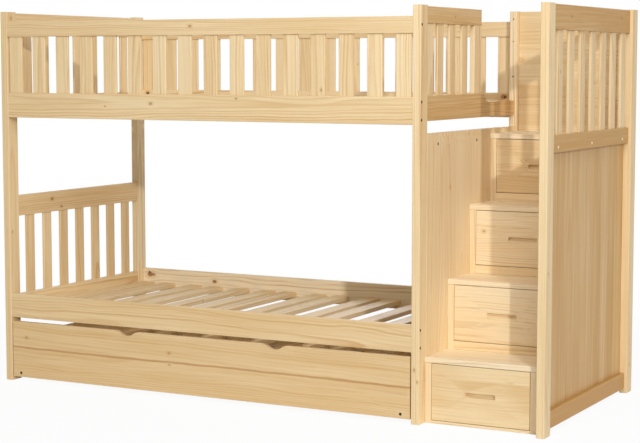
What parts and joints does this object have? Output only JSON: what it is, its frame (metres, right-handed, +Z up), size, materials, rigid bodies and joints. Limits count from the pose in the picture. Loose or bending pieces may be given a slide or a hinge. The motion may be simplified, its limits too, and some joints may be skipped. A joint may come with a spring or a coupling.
{
  "type": "bunk bed with storage stairs",
  "caption": "Solid pine twin bunk bed with a rolling trundle and a staircase whose steps hold drawers.",
  "frame": {"origin": "on the floor, under the middle of the object's bounding box", "axes": "+X along the bed from the headboard to the stairs, -Y the front from which trundle and drawers open, +Z up"},
  "size_m": [2.552, 1.067, 1.636],
  "materials": {
    "pine": "clear satin lacquer",
    "glued_pine_panel": "edge-glued staves, clear satin lacquer",
    "zinc_steel": "zinc plated",
    "wheel_plastic": "moulded"
  },
  "bodies": {
    "frame": {"back_guard_slats": "pine", "back_guard_top_rail": "pine", "bed_post_back_left": "pine", "bed_post_back_right": "pine", "bed_post_front_left": "pine", "bed_post_front_right": "pine", "drawer_runners": "pine", "entry_end_rail": "pine", "foot_guard_slats": "pine", "foot_guard_stile": "pine", "foot_guard_top_rail": "pine", "frame_bolts": "zinc_steel", "front_guard_slats": "pine", "front_guard_top_rail": "pine", "lower_bed_slats": "pine", "lower_foot_rail": "pine", "lower_headboard_bottom_rail": "pine", "lower_headboard_slats": "pine", "lower_headboard_top_rail": "pine", "lower_side_rail_back": "pine", "lower_side_rail_front": "pine", "slat_ledgers": "pine", "stair_back_panel_lower": "glued_pine_panel", "stair_back_panel_upper": "glued_pine_panel", "stair_cross_rail": "pine", "stair_drawer_frames": "pine", "stair_end_base_rail": "pine", "stair_end_mid_rail": "pine", "stair_end_plugs": "pine", "stair_end_slats": "pine", "stair_end_top_rail": "pine", "stair_panel_left": "glued_pine_panel", "stair_panel_right": "glued_pine_panel", "stair_post_back": "pine", "stair_post_front": "pine", "stair_treads": "glued_pine_panel", "upper_bed_slats": "pine", "upper_headboard_bottom_rail": "pine", "upper_headboard_slats": "pine", "upper_headboard_top_rail": "pine", "upper_side_rail_back": "pine", "upper_side_rail_front": "pine"},
    "trundle": {"trundle_front": "pine", "trundle_bolts": "zinc_steel", "trundle_corner_blocks": "pine", "trundle_box": "pine", "trundle_bearers": "pine", "trundle_slats": "pine", "caster_brackets": "zinc_steel", "caster_axles": "zinc_steel"},
    "front_wheels": {"trundle_wheels_front": "wheel_plastic"},
    "back_wheels": {"trundle_wheels_back": "wheel_plastic"},
    "drawer_1": {"drawer_1_front": "pine", "drawer_1_box": "pine"},
    "drawer_2": {"drawer_2_front": "pine", "drawer_2_box": "pine"},
    "drawer_3": {"drawer_3_front": "pine", "drawer_3_box": "pine"},
    "drawer_4": {"drawer_4_front": "pine", "drawer_4_box": "pine"}
  },
  "joints": [
    {"name": "trundle_slide", "type": "slide", "parent": "frame", "child": "trundle", "axis": [0, -1, 0], "range_m": [0, 0.95]},
    {"name": "front_wheels_roll", "type": "hinge", "parent": "trundle", "child": "front_wheels", "pos_m": [0, -0.4415, 0.025], "axis": [1, 0, 0], "range_deg": [0, 2180]},
    {"name": "back_wheels_roll", "type": "hinge", "parent": "trundle", "child": "back_wheels", "pos_m": [0, 0.3715, 0.025], "axis": [1, 0, 0], "range_deg": [0, 2180]},
    {"name": "drawer_1_slide", "type": "slide", "parent": "frame", "child": "drawer_1", "axis": [0, -1, 0], "range_m": [0, 0.22]},
    {"name": "drawer_2_slide", "type": "slide", "parent": "frame", "child": "drawer_2", "axis": [0, -1, 0], "range_m": [0, 0.22]},
    {"name": "drawer_3_slide", "type": "slide", "parent": "frame", "child": "drawer_3", "axis": [0, -1, 0], "range_m": [0, 0.22]},
    {"name": "drawer_4_slide", "type": "slide", "parent": "frame", "child": "drawer_4", "axis": [0, -1, 0], "range_m": [0, 0.22]}
  ],
  "couplings": [
    {"joint": "front_wheels_roll", "follows": "trundle_slide", "rad_per_m": 40},
    {"joint": "back_wheels_roll", "follows": "trundle_slide", "rad_per_m": 40}
  ]
}
